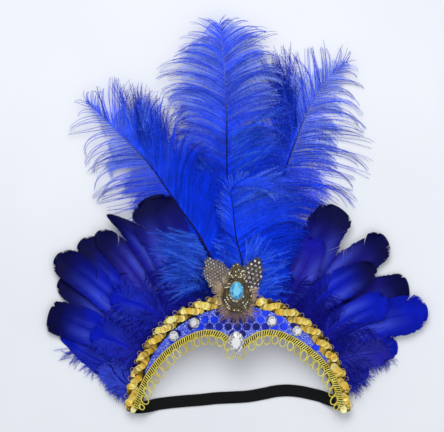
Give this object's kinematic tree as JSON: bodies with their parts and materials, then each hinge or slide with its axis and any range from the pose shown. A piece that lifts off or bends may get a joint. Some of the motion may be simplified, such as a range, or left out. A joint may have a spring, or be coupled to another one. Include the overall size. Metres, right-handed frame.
{
  "type": "feather headdress",
  "caption": "Showgirl headdress: a sequinned felt crescent with gold braid, looped trim and cut stones, ostrich plumes and goose feather fans, and an elastic strap.",
  "frame": {"origin": "on the surface that the headdress lies on, under the middle of its outline", "axes": "+X to the right across the forehead as seen from the front, +Y up the plumes, +Z out of the front, away from the surface it lies on"},
  "size_m": [0.3826, 0.397, 0.0467],
  "materials": {
    "elastic": "matt ribbed black elastic",
    "goose": "deep ultramarine dyed feather with a purple sheen",
    "ostrich": "royal blue dyed ostrich barbs",
    "felt": "matt black felt",
    "sequin_cloth": "blue glitter net with round sequins",
    "gold_braid": "shiny gold sequins",
    "gold_cord": "gold metallic yarn",
    "crystal": "clear foil-backed cut stone",
    "down": "tan brown down",
    "guinea": "grey-brown feather with white spots",
    "bronze_beads": "dark bronze glass beads",
    "aqua_stone": "aqua foil-backed cut stone"
  },
  "bodies": {
    "root": {"elastic_strap": "elastic", "goose_left_1": "goose", "goose_left_2": "goose", "goose_left_3": "goose", "goose_left_4": "goose", "goose_left_5": "goose", "goose_left_6": "goose", "goose_left_7": "goose", "goose_left_8": "goose", "goose_left_9": "goose", "goose_left_10": "goose", "goose_left_11": "goose", "goose_right_1": "goose", "goose_right_2": "goose", "goose_right_3": "goose", "goose_right_4": "goose", "goose_right_5": "goose", "goose_right_6": "goose", "goose_right_7": "goose", "goose_right_8": "goose", "goose_right_9": "goose", "goose_right_10": "goose", "plume_right": "ostrich", "plume_center": "ostrich", "plume_left": "ostrich", "plume_front": "ostrich", "band_base": "felt", "band_cloth": "sequin_cloth", "braid_left": "gold_braid", "braid_right": "gold_braid", "gimp_head": "gold_cord", "gimp_loops": "gold_cord", "stone_round_1": "crystal", "stone_round_2": "crystal", "stone_round_3": "crystal", "stone_round_4": "crystal", "stone_drop": "crystal", "down_tuft": "down", "guinea_left": "guinea", "guinea_right": "guinea", "medallion": "bronze_beads", "gem_oval": "aqua_stone"}
  },
  "joints": []
}
